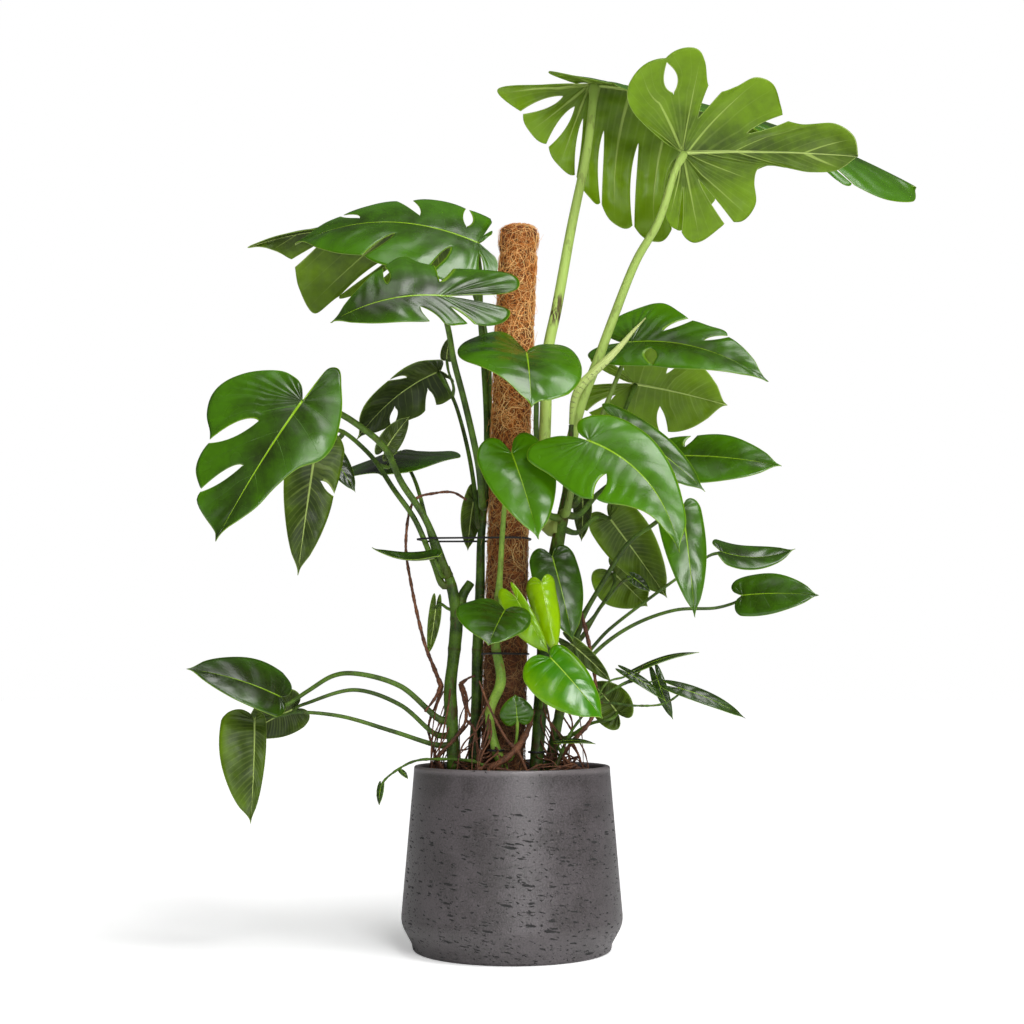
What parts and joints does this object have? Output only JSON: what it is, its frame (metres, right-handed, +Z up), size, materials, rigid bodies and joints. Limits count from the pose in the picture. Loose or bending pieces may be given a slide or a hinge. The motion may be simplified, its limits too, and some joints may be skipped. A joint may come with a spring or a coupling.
{
  "type": "potted swiss cheese plant",
  "caption": "Split-leaved climbing house plant tied to a coir pole, standing in a tapered round pot filled with soil.",
  "frame": {"origin": "middle of the pot's foot, on the floor", "axes": "+Z up along the plant, -Y towards the viewer of the picture, +X to the viewer's right"},
  "size_m": [1.0331, 0.486, 1.2493],
  "materials": {
    "cement": "matte",
    "soil": "matte",
    "coir": "matte",
    "stake": "matte",
    "stem": "satin",
    "pale_stem": "satin",
    "root": "matte",
    "tie": "satin",
    "leaf": "gloss",
    "fresh_leaf": "satin",
    "new_leaf": "satin"
  },
  "bodies": {
    "root": {"pot": "cement", "soil": "soil", "coir_wrap": "coir", "pole_stake": "stake", "left_stem": "stem", "climbing_stem": "stem", "right_stem": "stem", "rear_stem": "stem", "leafy_runner": "stem", "rim_runner": "stem", "front_stem": "pale_stem", "left_roots": "root", "centre_roots": "root", "thick_front_root": "root", "right_roots": "root", "upper_tie": "tie", "middle_tie": "tie", "lower_left_tie": "tie", "lower_right_tie": "tie", "rolled_new_leaf": "new_leaf", "crown_leaf_rear": "leaf", "crown_leaf_front": "leaf", "upper_left_leaf": "leaf", "upper_left_leaf_rear": "leaf", "second_left_leaf": "leaf", "big_left_leaf": "leaf", "hanging_left_leaf": "leaf", "hanging_left_small": "leaf", "dark_left_leaf": "leaf", "small_grey_leaf": "leaf", "level_left_leaf": "leaf", "upright_grey_leaf": "leaf", "front_heart_leaf": "leaf", "bright_heart_leaf": "leaf", "large_front_leaf": "leaf", "behind_front_leaf": "leaf", "right_leaf": "leaf", "upper_right_leaf": "leaf", "grey_right_leaf": "leaf", "hanging_right_leaf": "leaf", "dark_right_leaf": "leaf", "round_right_leaf": "leaf", "tiny_right_leaf": "leaf", "dark_centre_leaf": "leaf", "dark_rear_leaf": "leaf", "dark_front_leaf": "leaf", "small_round_leaf": "leaf", "low_right_leaf": "leaf", "far_right_curled_leaf": "leaf", "far_right_leaf": "leaf", "curled_left_leaf": "leaf", "olive_leaf": "leaf", "pole_side_leaf": "leaf", "low_left_leaf": "leaf", "low_left_round_leaf": "leaf", "low_left_hanging_leaf": "leaf", "fresh_curled_leaf": "fresh_leaf", "fresh_rear_leaf": "fresh_leaf", "fresh_heart_leaf": "fresh_leaf"}
  },
  "joints": []
}
